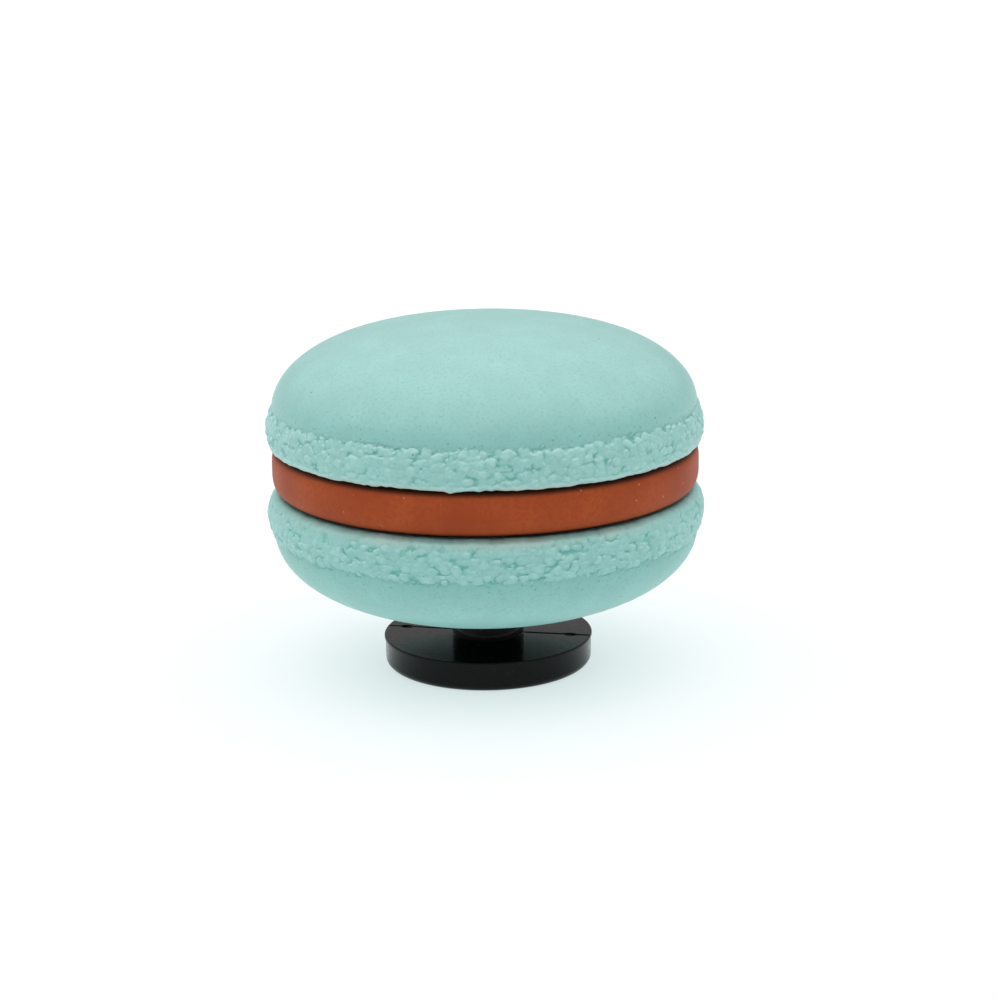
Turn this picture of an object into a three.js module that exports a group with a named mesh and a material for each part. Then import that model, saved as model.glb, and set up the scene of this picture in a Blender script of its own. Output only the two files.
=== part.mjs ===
// Shoe charm in the shape of a macaron, standing on its own push-in plug.
//
// Two moulded shells with pebbled feet face each other across a filling disc, and a button on
// a short post is set under the lower shell. Units are millimetres, +Z is up, and the origin is
// the centre of the button's flat underside.

import * as THREE from 'three';

// The stack, from the ground up. Each level is a whole number of eighths of a millimetre, so
// that it is exact in 32-bit numbers and the faces that touch lie in one plane.
const BUTTON_THICKNESS = 1.75;
const POST_LENGTH = 1.75;
const LOWER_SHELL_HEIGHT = 6.875;
const FILLING_THICKNESS = 2.75;
const UPPER_SHELL_HEIGHT = 6.75;

// The plug: button and post, moulded in one.
const BUTTON_RADIUS = 5.98;
const BUTTON_SIDE_RADIUS = 5.92;
const BUTTON_RIM_HEIGHT = 0.3;
const BUTTON_RIM_BREAK = 0.08;
const BUTTON_LOWER_ROUNDING = 0.44;
const POST_RADIUS = 2.05;
const POST_FILLET = 0.2;

// The filling disc: a bulging rim between two narrow grooves, and a core that carries the shells.
const FILLING_RADIUS = 12.02;
const FILLING_CORE_RADIUS = 10.2;
const FILLING_RIM_ROUNDING = 0.84;
const LOWER_GROOVE = 0.25;
const UPPER_GROOVE = 0.25;
const FILLING_EDGE_POWER = 3.2;

// The shell's dome, a superellipse that springs from the crease above the foot.
const DOME_RADIUS = 11.95;
const DOME_SIDE_POWER = 2.66;
const DOME_CROWN_POWER = 1.95;
const CROWN_FLAT_RADIUS = 2.5;

// The shell's foot: a rounded lip at the inner face, under a pebbled band up to the crease.
const LIP_HEIGHT = 1.0;
const LIP_MIDDLE = 0.3 * Math.PI;
const FOOT_RADIUS = 12.36;
const FOOT_TOP_RADIUS = 12.05;
const PEBBLE_DEPTH = 0.22;

// The two shells. The lower one is a little taller and wider, and its lip rolls off further in.
const UPPER_SHELL = {
  side: 1,
  seed: 3,
  height: UPPER_SHELL_HEIGHT,
  faceRadius: 11.97,
  crease: 2.15,
  spread: 0,
};
const LOWER_SHELL = {
  side: -1,
  seed: 11,
  height: LOWER_SHELL_HEIGHT,
  faceRadius: 11.6,
  crease: 2.275,
  spread: 0.05,
};

// Pebbles lie like bricks on a grid unrolled round the foot, each one moved off its grid point.
// The rows are counted down from the crease, from -1.
const PEBBLES_ROUND = 120;
const PEBBLE_ROWS = 3;
const PEBBLE_ROW_HEIGHT = 0.5;
const PEBBLE_SHIFT = 0.32;
const PEBBLE_SMALLEST = 0.48;
const PEBBLE_LARGEST = 0.75;
const PEBBLE_LOWEST = 0.55;
const PEBBLE_ROUNDNESS = 2.5;

// Mesh density: the foot has a point on each pebble and one between, the dome needs fewer.
const FOOT_POINTS = 2 * PEBBLES_ROUND;
const DOME_POINTS = 80;
const DOME_RINGS = 7;
const DOME_RING_CROWDING = 1.2;
const CROWN_POINTS = 40;
const FILLING_SEGMENTS = 64;
const PLUG_SEGMENTS = 48;
const ARC_STEPS = 4;

/** A repeatable number from 0 to 1 for one pebble and one of its traits. */
function scatter(column, row, trait) {
  const wave = Math.sin(column * 12.9898 + row * 78.233 + trait * 37.719) * 43758.5453;
  return wave - Math.floor(wave);
}

/** Every other row of cells is set half a cell further round, as bricks are. */
function brickOffset(row) {
  return row % 2 === 0 ? 0 : 0.5;
}

/** The pebble of one cell: the place of its middle, its reach and its rise, in cells. */
function pebbleOf(column, row, seed) {
  const cell = ((column % PEBBLES_ROUND) + PEBBLES_ROUND) % PEBBLES_ROUND;
  const shift = (trait) => PEBBLE_SHIFT * (2 * scatter(cell, row, trait) - 1);
  return {
    round: column + 0.5 + brickOffset(row) + shift(seed),
    up: row + 0.5 + shift(seed + 1),
    reach: THREE.MathUtils.lerp(PEBBLE_SMALLEST, PEBBLE_LARGEST, scatter(cell, row, seed + 2)),
    rise: THREE.MathUtils.lerp(PEBBLE_LOWEST, 1, scatter(cell, row, seed + 3)),
  };
}

/**
 * Height of the pebbles, 0 to 1, at a place on the foot given in cells round and up.
 * Each pebble is a low cap, and where caps meet the higher one shows, which leaves a crevice.
 */
function pebbleHeight(round, up, seed) {
  const firstRow = Math.max(-PEBBLE_ROWS, Math.floor(up) - 1);
  const lastRow = Math.min(-1, Math.floor(up) + 1);
  let height = 0;
  for (let row = firstRow; row <= lastRow; row += 1) {
    const middleColumn = Math.floor(round - brickOffset(row));
    for (let column = middleColumn - 1; column <= middleColumn + 1; column += 1) {
      const pebble = pebbleOf(column, row, seed);
      const away = Math.hypot(round - pebble.round, up - pebble.up) / pebble.reach;
      const cap = Math.sqrt(Math.max(0, 1 - away ** PEBBLE_ROUNDNESS));
      height = Math.max(height, pebble.rise * cap);
    }
  }
  return height;
}

/**
 * Radius over the pebble tops, at a height above the inner face: a quarter ellipse up the lip,
 * then a lean towards the crease.
 */
function footRadius(shell, height) {
  const below = Math.max(0, 1 - height / LIP_HEIGHT);
  const climb = Math.max(0, height - LIP_HEIGHT) / (shell.crease - LIP_HEIGHT);
  const roll = (FOOT_RADIUS + shell.spread - shell.faceRadius) * (1 - Math.sqrt(1 - below * below));
  const lean = (FOOT_RADIUS - FOOT_TOP_RADIUS) * climb * climb;
  return FOOT_RADIUS + shell.spread - roll - lean;
}

/**
 * One point of the pebbled band, as [radius, height, angle]. `up` counts rows of cells from the
 * crease. A point at the middle of a cell moves to the middle of its pebble, the others stay.
 */
function pebbledPoint(shell, angle, up) {
  const round = (angle / (2 * Math.PI)) * PEBBLES_ROUND;
  const row = Math.floor(up);
  const column = Math.floor(round - brickOffset(row));
  const isMiddle = up > row && round - brickOffset(row) > column;
  const place = isMiddle ? pebbleOf(column, row, shell.seed) : { round, up };
  const height = shell.crease + PEBBLE_ROW_HEIGHT * place.up;
  const relief = PEBBLE_DEPTH * (1 - pebbleHeight(place.round, place.up, shell.seed));
  return [footRadius(shell, height) - relief, height, (place.round / PEBBLES_ROUND) * 2 * Math.PI];
}

/** A closed body built up from rings of points about Z, with a centre point at each end. */
class RingStack {
  constructor() {
    this.points = [];
    this.faces = [];
    this.rings = [];
  }

  /** Adds a ring. `place` gives [radius, height] for an angle, and the angle again if it moves. */
  addRing(count, place) {
    const first = this.points.length / 3;
    for (let k = 0; k < count; k += 1) {
      const angle = (2 * Math.PI * k) / count;
      const [radius, height, turned = angle] = place(angle);
      this.points.push(radius * Math.cos(turned), radius * Math.sin(turned), height);
    }
    this.rings.push({ first, count });
  }

  /** Adds a centre point and the fan that closes the nearest ring onto it. */
  closeEnd(ring, height, isLast) {
    const centre = this.points.length / 3;
    this.points.push(0, 0, height);
    for (let k = 0; k < ring.count; k += 1) {
      const here = ring.first + k;
      const next = ring.first + ((k + 1) % ring.count);
      this.faces.push(...(isLast ? [centre, here, next] : [centre, next, here]));
    }
  }

  /** Distance between two points, given by number. */
  span(from, to) {
    const offset = [0, 1, 2].map((axis) => this.points[3 * to + axis] - this.points[3 * from + axis]);
    return Math.hypot(...offset);
  }

  /** Joins two rings, whatever their counts, always across the shorter diagonal. */
  joinRings(inner, outer) {
    let a = 0;
    let b = 0;
    while (a < inner.count || b < outer.count) {
      const here = inner.first + (a % inner.count);
      const there = outer.first + (b % outer.count);
      const nextHere = inner.first + ((a + 1) % inner.count);
      const nextThere = outer.first + ((b + 1) % outer.count);
      const isShorter = this.span(nextHere, there) <= this.span(here, nextThere);
      if (b === outer.count || (a < inner.count && isShorter)) {
        this.faces.push(here, nextHere, there);
        a += 1;
      } else {
        this.faces.push(here, nextThere, there);
        b += 1;
      }
    }
  }

  /** The finished geometry, turned over about the inner face when `side` is -1. */
  toGeometry(side) {
    const rings = this.rings;
    this.closeEnd(rings[0], this.points[3 * rings[0].first + 2], false);
    for (let k = 0; k + 1 < rings.length; k += 1) {
      this.joinRings(rings[k], rings[k + 1]);
    }
    const last = rings[rings.length - 1];
    this.closeEnd(last, this.points[3 * last.first + 2], true);
    const geometry = new THREE.BufferGeometry();
    const placed = this.points.map((value, index) => (index % 3 === 2 ? side * value : value));
    geometry.setAttribute('position', new THREE.Float32BufferAttribute(placed, 3));
    geometry.setIndex(side === 1 ? this.faces : this.faces.slice().reverse());
    geometry.computeVertexNormals();
    return geometry;
  }
}

/** A ring of the dome, as [radius, height], at a turn from the crease (0) to the crown (1). */
function domePoint(shell, turn) {
  const angle = turn * (Math.PI / 2);
  const radius = (DOME_RADIUS + shell.spread) * Math.cos(angle) ** (2 / DOME_SIDE_POWER);
  const rise = (shell.height - shell.crease) * Math.sin(angle) ** (2 / DOME_CROWN_POWER);
  return [radius, shell.crease + rise];
}

/** One shell: inner face at height 0, lip, pebbled foot, crease and dome. */
function makeShell(shell) {
  const stack = new RingStack();
  const lipMiddle = LIP_HEIGHT * (1 - Math.cos(LIP_MIDDLE));
  stack.addRing(DOME_POINTS, () => [FILLING_CORE_RADIUS, 0]);
  stack.addRing(FOOT_POINTS, () => [shell.faceRadius, 0]);
  stack.addRing(FOOT_POINTS, () => [footRadius(shell, lipMiddle), lipMiddle]);
  for (let step = -2 * PEBBLE_ROWS; step < 0; step += 1) {
    stack.addRing(FOOT_POINTS, (angle) => pebbledPoint(shell, angle, step / 2));
  }
  stack.addRing(FOOT_POINTS, () => domePoint(shell, 0));
  for (let k = 1; k <= DOME_RINGS; k += 1) {
    const turn = (k / (DOME_RINGS + 1)) ** DOME_RING_CROWDING;
    stack.addRing(DOME_POINTS, () => domePoint(shell, turn));
  }
  stack.addRing(CROWN_POINTS, () => [CROWN_FLAT_RADIUS, shell.height]);
  return stack.toGeometry(shell.side);
}

/** A solid of revolution about Z from an outline in the radius-height plane. */
function revolve(outline, segments) {
  const geometry = new THREE.LatheGeometry(outline, segments);
  geometry.rotateX(Math.PI / 2);
  return geometry;
}

/** Points along a rounded corner, a quarter of a superellipse, leaving out its two ends. */
function cornerPoints(centre, reach, power, fromAngle) {
  const corner = [];
  for (let k = 1; k < ARC_STEPS; k += 1) {
    const angle = fromAngle + (k / ARC_STEPS) * (Math.PI / 2);
    const across = Math.sign(Math.cos(angle)) * Math.abs(Math.cos(angle)) ** (2 / power);
    const upward = Math.sign(Math.sin(angle)) * Math.abs(Math.sin(angle)) ** (2 / power);
    corner.push(new THREE.Vector2(centre.x + reach.x * across, centre.y + reach.y * upward));
  }
  return corner;
}

/** The filling, from its lower face at height 0. */
function makeFilling() {
  const rimBottom = LOWER_GROOVE;
  const rimTop = FILLING_THICKNESS - UPPER_GROOVE;
  const rimMiddle = (rimBottom + rimTop) / 2;
  const centre = new THREE.Vector2(FILLING_RADIUS - FILLING_RIM_ROUNDING, rimMiddle);
  const reach = new THREE.Vector2(FILLING_RIM_ROUNDING, (rimTop - rimBottom) / 2);
  const outline = [
    new THREE.Vector2(0, 0),
    new THREE.Vector2(FILLING_CORE_RADIUS, 0),
    new THREE.Vector2(FILLING_CORE_RADIUS, rimBottom),
    ...cornerPoints(centre, reach, FILLING_EDGE_POWER, -Math.PI / 2),
    new THREE.Vector2(FILLING_RADIUS, rimMiddle),
    ...cornerPoints(centre, reach, FILLING_EDGE_POWER, 0),
    new THREE.Vector2(FILLING_CORE_RADIUS, rimTop),
    new THREE.Vector2(FILLING_CORE_RADIUS, FILLING_THICKNESS),
    new THREE.Vector2(0, FILLING_THICKNESS),
  ];
  return revolve(outline, FILLING_SEGMENTS);
}

/** The plug, from the button's underside at height 0 to the end of its post. */
function makePlug() {
  const cornerCentre = new THREE.Vector2(
    BUTTON_SIDE_RADIUS - BUTTON_LOWER_ROUNDING,
    BUTTON_LOWER_ROUNDING,
  );
  const cornerReach = new THREE.Vector2(BUTTON_LOWER_ROUNDING, BUTTON_LOWER_ROUNDING);
  const outline = [
    new THREE.Vector2(0, 0),
    new THREE.Vector2(cornerCentre.x, 0),
    ...cornerPoints(cornerCentre, cornerReach, 2, -Math.PI / 2),
    new THREE.Vector2(BUTTON_SIDE_RADIUS, BUTTON_LOWER_ROUNDING),
    new THREE.Vector2(BUTTON_SIDE_RADIUS, BUTTON_THICKNESS - BUTTON_RIM_HEIGHT),
    new THREE.Vector2(BUTTON_RADIUS, BUTTON_THICKNESS - BUTTON_RIM_BREAK),
    new THREE.Vector2(BUTTON_RADIUS - BUTTON_RIM_BREAK, BUTTON_THICKNESS),
    new THREE.Vector2(POST_RADIUS + POST_FILLET, BUTTON_THICKNESS),
    new THREE.Vector2(POST_RADIUS, BUTTON_THICKNESS + POST_FILLET),
    new THREE.Vector2(POST_RADIUS, BUTTON_THICKNESS + POST_LENGTH),
    new THREE.Vector2(0, BUTTON_THICKNESS + POST_LENGTH),
  ];
  return revolve(outline, PLUG_SEGMENTS);
}

const shellFinish = new THREE.MeshStandardMaterial({ color: '#8cc3bb', roughness: 0.75, metalness: 0 });
const fillingFinish = new THREE.MeshStandardMaterial({ color: '#98492b', roughness: 0.65, metalness: 0 });
const plugFinish = new THREE.MeshStandardMaterial({ color: '#1a1a1a', roughness: 0.3, metalness: 0 });

/** Adds a named piece to the group at its level. */
function addPiece(group, name, geometry, finish, level) {
  const piece = new THREE.Mesh(geometry, finish);
  piece.name = name;
  piece.position.z = level;
  group.add(piece);
}

const lowerFace = BUTTON_THICKNESS + POST_LENGTH + LOWER_SHELL_HEIGHT;
const charm = new THREE.Group();
addPiece(charm, 'plug', makePlug(), plugFinish, 0);
addPiece(charm, 'shell_bottom', makeShell(LOWER_SHELL), shellFinish, lowerFace);
addPiece(charm, 'filling', makeFilling(), fillingFinish, lowerFace);
addPiece(charm, 'shell_top', makeShell(UPPER_SHELL), shellFinish, lowerFace + FILLING_THICKNESS);

export default charm;
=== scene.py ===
"""Looks of a shoe charm in the shape of a macaron, standing on its push-in plug.

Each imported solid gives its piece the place, the levels and the height, and a fine skin stands for
it: two shells in mint soft PVC with pebbled feet, a chocolate filling disc between them, and the
glossy black plug. A lit table, a soft sky and a camera complete the scene. All lengths are metres.
"""

import logging
import math
from abc import ABC, abstractmethod
from dataclasses import dataclass, field
from enum import Enum
from functools import partial

import bpy
import numpy as np
from mathutils import Matrix, Vector


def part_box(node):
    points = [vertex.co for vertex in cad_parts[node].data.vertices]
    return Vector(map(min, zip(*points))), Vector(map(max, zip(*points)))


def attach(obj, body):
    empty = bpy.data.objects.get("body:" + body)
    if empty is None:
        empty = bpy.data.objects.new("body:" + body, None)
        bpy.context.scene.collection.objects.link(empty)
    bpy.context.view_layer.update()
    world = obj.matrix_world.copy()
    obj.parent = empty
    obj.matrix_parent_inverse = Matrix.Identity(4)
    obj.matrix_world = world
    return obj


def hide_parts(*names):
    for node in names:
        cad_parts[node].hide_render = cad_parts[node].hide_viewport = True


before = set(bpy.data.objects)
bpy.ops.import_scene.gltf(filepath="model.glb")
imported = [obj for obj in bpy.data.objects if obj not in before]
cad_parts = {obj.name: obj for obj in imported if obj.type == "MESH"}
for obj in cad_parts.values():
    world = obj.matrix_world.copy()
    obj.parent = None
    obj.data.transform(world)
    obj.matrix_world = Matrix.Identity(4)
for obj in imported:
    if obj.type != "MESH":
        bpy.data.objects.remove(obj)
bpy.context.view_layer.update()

Array = np.ndarray
Value = float | tuple | bpy.types.NodeSocket

log = logging.getLogger("charm")

MM = 0.001
QUARTER = math.pi / 2
FULL_TURN = 2 * math.pi


# --- Numbers that many pieces share ---


def scatter(column: Array, row: Array, trait: float) -> Array:
    """Gives a repeatable number from 0 to 1 for each cell of a grid.

    The formula is the fraction left of a large sine wave over the cell's column and row.

    Args:
        column: Column of each cell.
        row: Row of each cell.
        trait: Which of the cell's numbers is asked for.

    Returns:
        One number for each cell.
    """
    wave = np.sin(column * 12.9898 + row * 78.233 + trait * 37.719) * 43758.5453
    return wave - np.floor(wave)


def ease(value: Array, start: float, end: float) -> Array:
    """Rises from 0 at start to 1 at end along 3t^2 - 2t^3.

    Args:
        value: Where to look.
        start: Where the rise starts.
        end: Where the rise ends.

    Returns:
        The share of the rise at each value.
    """
    t = np.clip((value - start) / (end - start), 0, 1)
    return t * t * (3 - 2 * t)


def soft_noise(around: Array, up: Array, wrap: int, seed: float) -> Array:
    """Value noise from -0.5 to 0.5 that closes on itself round the piece.

    The formula blends the random numbers of the four nearest grid points with eased weights.

    Args:
        around: Grid coordinate round the piece.
        up: Grid coordinate along the profile.
        wrap: Number of grid cells in a full turn.
        seed: Which noise is asked for.

    Returns:
        The noise at each place.
    """
    column, row = np.floor(around), np.floor(up)
    across, along = ease(around - column, 0, 1), ease(up - row, 0, 1)
    near, far = np.mod(column, wrap), np.mod(column + 1, wrap)
    low = scatter(near, row, seed) * (1 - across) + scatter(far, row, seed) * across
    high = scatter(near, row + 1, seed) * (1 - across) + scatter(far, row + 1, seed) * across
    return low * (1 - along) + high * along - 0.5


@dataclass(frozen=True)
class Wander:
    """Value noise wrapped round a piece.

    Attributes:
        columns: Number of cells in a full turn.
        step: Height of a cell.
        trait: Which noise it is.
    """

    columns: int
    step: float
    trait: float

    def at(self, angle: Array, height: Array, seed: float = 0) -> Array:
        """Gives the noise at each place.

        The formula is the soft noise of angle / full turn * columns and height / step.

        Args:
            angle: Angle about Z.
            height: Height on the piece.
            seed: First random trait of the piece.

        Returns:
            The noise, -0.5 to 0.5.
        """
        around = angle / FULL_TURN * self.columns
        return soft_noise(around, height / self.step, self.columns, seed + self.trait)


def smooth_maximum(*heights: Array) -> Array:
    """Gives the 8-norm of the heights: their maximum, rounded a little where they meet."""
    return sum(height**8 for height in heights) ** (1 / 8)


def quarter_arc(steps: int) -> Array:
    """Gives evenly spaced angles from 0 to a quarter turn, both ends included."""
    return np.linspace(0, QUARTER, steps + 1)


# --- Skins: closed surfaces built as rings of points about Z ---


@dataclass
class Skin:
    """A closed surface of rings about Z, with a point on the axis at each end.

    Attributes:
        rings: Points as (ring, column, xyz), each ring counter-clockwise seen from above.
        first_pole: Height of the axis point before the first ring.
        last_pole: Height of the axis point after the last ring.
        marks: Named numbers, one for each ring point.
    """

    rings: Array
    first_pole: float
    last_pole: float
    marks: dict[str, Array] = field(default_factory=dict)

    def faces(self) -> tuple[Array, Array]:
        """Works out the faces.

        A quad joins columns k and k + 1 of one ring to the same columns of the next ring, and a
        triangle joins columns k and k + 1 of an end ring to its pole. The points run from the
        first pole to the last, and the order makes the faces point out where the first pole is
        below the last.

        Returns:
            The quads and the triangles, as point numbers.
        """
        ring_count, column_count, _ = self.rings.shape
        columns = np.arange(column_count)
        following = np.roll(columns, -1)
        starts = (np.arange(ring_count - 1) * column_count)[:, None]
        here, there = starts + columns, starts + following
        quads = np.stack([here, there, there + column_count, here + column_count], axis=-1)
        first_pole = ring_count * column_count
        last_ring = (ring_count - 1) * column_count
        low = np.stack([np.full(column_count, first_pole), following, columns], axis=-1)
        high_pole = np.full(column_count, first_pole + 1)
        high = np.stack([high_pole, last_ring + columns, last_ring + following], axis=-1)
        return quads.reshape(-1, 4), np.concatenate([low, high])

    def build(self, name: str) -> bpy.types.Object:
        """Puts the skin into a new smooth-shaded mesh object.

        Args:
            name: Name of the piece.

        Returns:
            The new object, linked to the scene.
        """
        poles = np.array([[0, 0, self.first_pole], [0, 0, self.last_pole]])
        points = np.concatenate([self.rings.reshape(-1, 3), poles])
        quads, triangles = self.faces()
        if self.first_pole > self.last_pole:
            quads, triangles = quads[:, ::-1], triangles[:, ::-1]
        corners = np.concatenate([quads.ravel(), triangles.ravel()])
        quad_starts = np.arange(len(quads)) * 4
        triangle_starts = quads.size + np.arange(len(triangles)) * 3
        starts = np.concatenate([quad_starts, triangle_starts])
        mesh = bpy.data.meshes.new(name)
        mesh.vertices.add(len(points))
        mesh.vertices.foreach_set("co", points.ravel())
        mesh.loops.add(len(corners))
        mesh.loops.foreach_set("vertex_index", corners.astype(np.int32))
        mesh.polygons.add(len(starts))
        mesh.polygons.foreach_set("loop_start", starts.astype(np.int32))
        mesh.polygons.foreach_set("use_smooth", np.ones(len(starts), dtype=bool))
        mesh.update(calc_edges=True)
        for mark, values in self.marks.items():
            attribute = mesh.attributes.new(mark, "FLOAT", "POINT")
            padded = np.concatenate([values.ravel(), np.zeros(len(poles))])
            attribute.data.foreach_set("value", padded.astype(np.float32))
        piece = bpy.data.objects.new(name, mesh)
        bpy.context.scene.collection.objects.link(piece)
        return piece


def revolve(radius: Array, height: Array, columns: int) -> tuple[Array, Array, Array]:
    """Spreads a profile over a full turn.

    Args:
        radius: Radius of each ring.
        height: Height of each ring.
        columns: Number of points round a ring.

    Returns:
        Angle, radius and height of each point, as (ring, column) grids.
    """
    turns = np.arange(columns) / columns * FULL_TURN
    angle, wide_radius = np.meshgrid(turns, radius)
    wide_height = np.repeat(height[:, None], columns, axis=1)
    return angle, wide_radius, wide_height


def to_points(angle: Array, radius: Array, height: Array) -> Array:
    """Turns angle, radius and height into points: x = r cos a, y = r sin a, z = height."""
    return np.stack([radius * np.cos(angle), radius * np.sin(angle), height], axis=-1)


# --- Finishes ---


def linear(hex_colour: str) -> tuple[float, float, float, float]:
    """Turns an sRGB hex colour into linear red, green and blue, with full alpha.

    Args:
        hex_colour: Colour such as "#8cc3bb".

    Returns:
        The four linear channels.
    """
    channels = [int(hex_colour[k : k + 2], 16) / 255 for k in (1, 3, 5)]
    straight = [c / 12.92 if c <= 0.04045 else ((c + 0.055) / 1.055) ** 2.4 for c in channels]
    return (*straight, 1.0)


def add_node(
    tree: bpy.types.NodeTree,
    kind: str,
    output: str = "",
    settings: dict[str, object] | None = None,
    inputs: dict[str, Value] | None = None,
) -> bpy.types.NodeSocket | None:
    """Adds a node with its settings, values and links.

    Args:
        tree: Node tree that gets the node.
        kind: Node type, without its "ShaderNode" start.
        output: Identifier of the output that is wanted, if any.
        settings: Properties of the node.
        inputs: For each input's identifier, a value or the output to link from.

    Returns:
        The wanted output, or nothing.
    """
    node = tree.nodes.new("ShaderNode" + kind)
    for name, value in (settings or {}).items():
        setattr(node, name, value)
    sockets = {socket.identifier: socket for socket in node.inputs}
    for name, value in (inputs or {}).items():
        if isinstance(value, bpy.types.NodeSocket):
            tree.links.new(value, sockets[name])
        else:
            sockets[name].default_value = value
    return next((socket for socket in node.outputs if socket.identifier == output), None)


@dataclass(frozen=True)
class Layer:
    """A tint that lies over the colours below it where a pattern is strong.

    Attributes:
        pattern: Output that gives the pattern's value.
        tint: Colour of the layer.
        start: Value where the layer starts to show.
        end: Value from which it shows most.
        most: Share of the tint there.
    """

    pattern: bpy.types.NodeSocket
    tint: str
    start: float = 0.0
    end: float = 1.0
    most: Value = 1.0


@dataclass(frozen=True)
class Finish(ABC):
    """The look of one material, turned into a Blender material on demand.

    Attributes:
        body: Colour of the plain surface.
    """

    body: str

    @abstractmethod
    def wire(self, tree: bpy.types.NodeTree, place: bpy.types.NodeSocket) -> bpy.types.NodeSocket:
        """Wires the finish's nodes.

        Args:
            tree: Node tree of the new material.
            place: Object coordinates in millimetres, so a texture's scale is 1 over its size.

        Returns:
            The shader output.
        """

    def layered(self, tree: bpy.types.NodeTree, layers: tuple[Layer, ...]) -> Value:
        """Lays tints over the body's colour, one after the other.

        A layer's share rises evenly from 0 at its start to its most at its end, and the colour
        so far moves towards its tint by that share.

        Args:
            tree: Node tree of the new material.
            layers: The layers, from the lowest to the highest.

        Returns:
            The colour that results.
        """
        colour = linear(self.body)
        for layer in layers:
            ramp = {
                "Value": layer.pattern,
                "From Min": layer.start,
                "From Max": layer.end,
                "To Max": layer.most,
            }
            share = add_node(tree, "MapRange", "Result", inputs=ramp)
            blend = {"Factor_Float": share, "A_Color": colour, "B_Color": linear(layer.tint)}
            colour = add_node(tree, "Mix", "Result_Color", {"data_type": "RGBA"}, blend)
        return colour

    def material(self) -> bpy.types.Material:
        """Makes a new material with the finish's nodes.

        Returns:
            The material, named after the finish.
        """
        made = bpy.data.materials.new(type(self).__name__)
        made.use_nodes = True
        tree = made.node_tree
        tree.nodes.clear()
        metres = add_node(tree, "TexCoord", "Object")
        scale = (1 / MM, 1 / MM, 1 / MM)
        place = add_node(tree, "Mapping", "Vector", inputs={"Vector": metres, "Scale": scale})
        add_node(tree, "OutputMaterial", inputs={"Surface": self.wire(tree, place)})
        return made


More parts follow.
